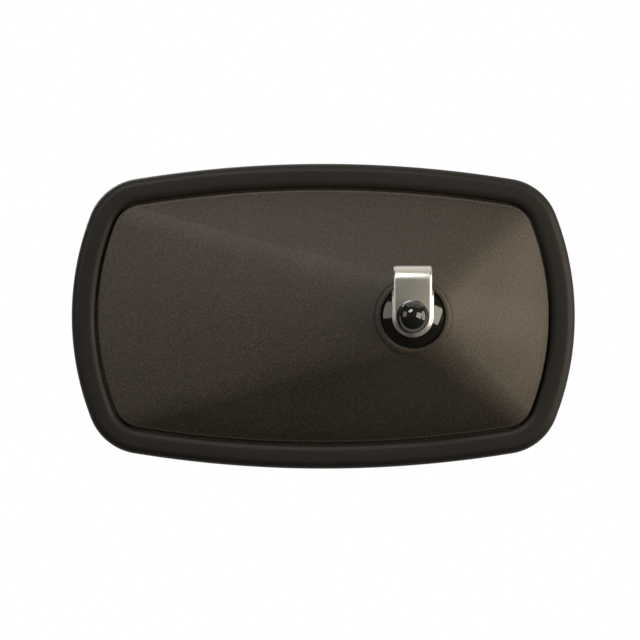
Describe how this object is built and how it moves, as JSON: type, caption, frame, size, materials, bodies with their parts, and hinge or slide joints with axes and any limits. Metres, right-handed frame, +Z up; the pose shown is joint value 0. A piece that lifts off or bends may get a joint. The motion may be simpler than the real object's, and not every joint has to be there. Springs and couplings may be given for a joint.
{
  "type": "convex security mirror",
  "caption": "Rounded rectangular convex mirror in a black rim and pyramid-shaped housing, on a friction ball joint with a folded strap clamp for a rod.",
  "frame": {"origin": "centre of the strap clamp's loop, on the axis of the rod that holds the mirror", "axes": "+X along the rod and the mirror's long side, +Y out of the mirror's reflecting face, +Z up"},
  "size_m": [0.33, 0.1222, 0.2],
  "materials": {
    "textured_black_plastic": "moulded with a fine speckled grain",
    "satin_black_rim": "smooth satin",
    "gloss_black_plastic": "polished black",
    "brushed_steel": "satin, rounded edges",
    "zinc_steel": "zinc plated",
    "nylon": "natural nylon",
    "foam_rubber": "closed-cell foam strip",
    "mirror_acrylic": "mirrored acrylic"
  },
  "bodies": {
    "clamp": {"clamp_strap": "brushed_steel"},
    "ball": {"swivel_dome": "gloss_black_plastic", "coach_bolt": "zinc_steel", "neck_washer": "zinc_steel", "leg_spacer": "zinc_steel", "flat_washer": "zinc_steel", "lock_washer": "zinc_steel", "clamp_nut": "zinc_steel", "nut_cap": "gloss_black_plastic"},
    "slip_ring": {"friction_ring": "nylon"},
    "mirror_head": {"rear_housing": "textured_black_plastic", "rim_frame": "satin_black_rim", "mirror_pane": "mirror_acrylic", "pane_gasket": "foam_rubber", "pressure_cup": "nylon", "disc_spring_1": "zinc_steel", "disc_spring_2": "zinc_steel", "disc_spring_3": "zinc_steel", "retainer_plate": "zinc_steel", "retainer_screw_1": "zinc_steel", "retainer_screw_2": "zinc_steel", "retainer_screw_3": "zinc_steel", "retainer_screw_4": "zinc_steel"}
  },
  "joints": [
    {"name": "bolt_swivel", "type": "hinge", "parent": "clamp", "child": "ball", "pos_m": [0, 0.0459, -0.0236], "axis": [0, -1, 0], "continuous": true},
    {"name": "ball_tilt", "type": "hinge", "parent": "ball", "child": "slip_ring", "pos_m": [0, 0.0459, -0.0236], "axis": [1, 0, 0], "range_deg": [-15, 15]},
    {"name": "ball_pan", "type": "hinge", "parent": "slip_ring", "child": "mirror_head", "pos_m": [0, 0.0459, -0.0236], "axis": [0, 0, 1], "range_deg": [-15, 15]}
  ]
}
